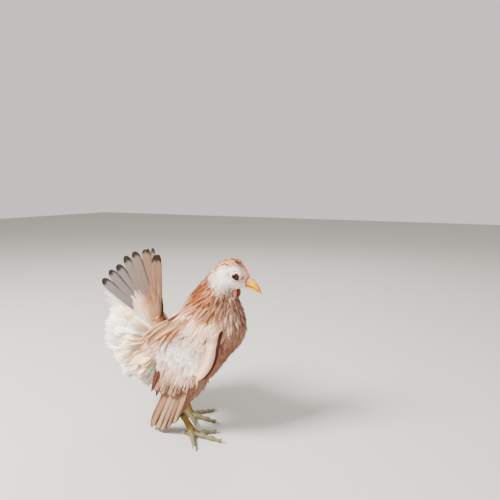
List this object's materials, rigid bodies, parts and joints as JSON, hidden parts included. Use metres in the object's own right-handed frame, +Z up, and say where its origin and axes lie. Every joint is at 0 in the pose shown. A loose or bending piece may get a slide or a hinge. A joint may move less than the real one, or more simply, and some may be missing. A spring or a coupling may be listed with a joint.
{
  "type": "serama chicken hen model",
  "caption": "Life-size still model of a young bantam hen standing with an upright fanned tail, drooped wings and a fluffed rear.",
  "frame": {"origin": "middle of the bounding box, on the floor under the bird", "axes": "+X towards the bill, +Y towards the bird's left wing, +Z up"},
  "size_m": [0.1788, 0.0808, 0.175],
  "materials": {
    "plumage": "soft buff feathers",
    "pale_plumage": "soft cream feathers",
    "tail_feather": "smooth cream and grey feathers with dark tips",
    "skin_red": "bare pink-red skin",
    "bill_horn": "smooth yellow horn",
    "leg_scale": "scaled olive-yellow skin",
    "claw_horn": "pale horn",
    "eye_gloss": "wet dark brown"
  },
  "bodies": {
    "root": {"head": "pale_plumage", "neck": "plumage", "torso": "plumage", "thigh_right": "plumage", "thigh_left": "plumage", "wing_right": "pale_plumage", "wing_left": "pale_plumage", "fluff": "pale_plumage", "tail": "tail_feather", "bill_upper": "bill_horn", "bill_lower": "bill_horn", "comb": "skin_red", "wattle_right": "skin_red", "wattle_left": "skin_red", "eye_right": "eye_gloss", "eye_left": "eye_gloss", "shank_right": "leg_scale", "shank_left": "leg_scale", "toe_middle_right": "leg_scale", "toe_inner_right": "leg_scale", "toe_outer_right": "leg_scale", "toe_hind_right": "leg_scale", "toe_middle_left": "leg_scale", "toe_inner_left": "leg_scale", "toe_outer_left": "leg_scale", "toe_hind_left": "leg_scale", "claw_middle_right": "claw_horn", "claw_inner_right": "claw_horn", "claw_outer_right": "claw_horn", "claw_hind_right": "claw_horn", "claw_middle_left": "claw_horn", "claw_inner_left": "claw_horn", "claw_outer_left": "claw_horn", "claw_hind_left": "claw_horn"}
  },
  "joints": []
}
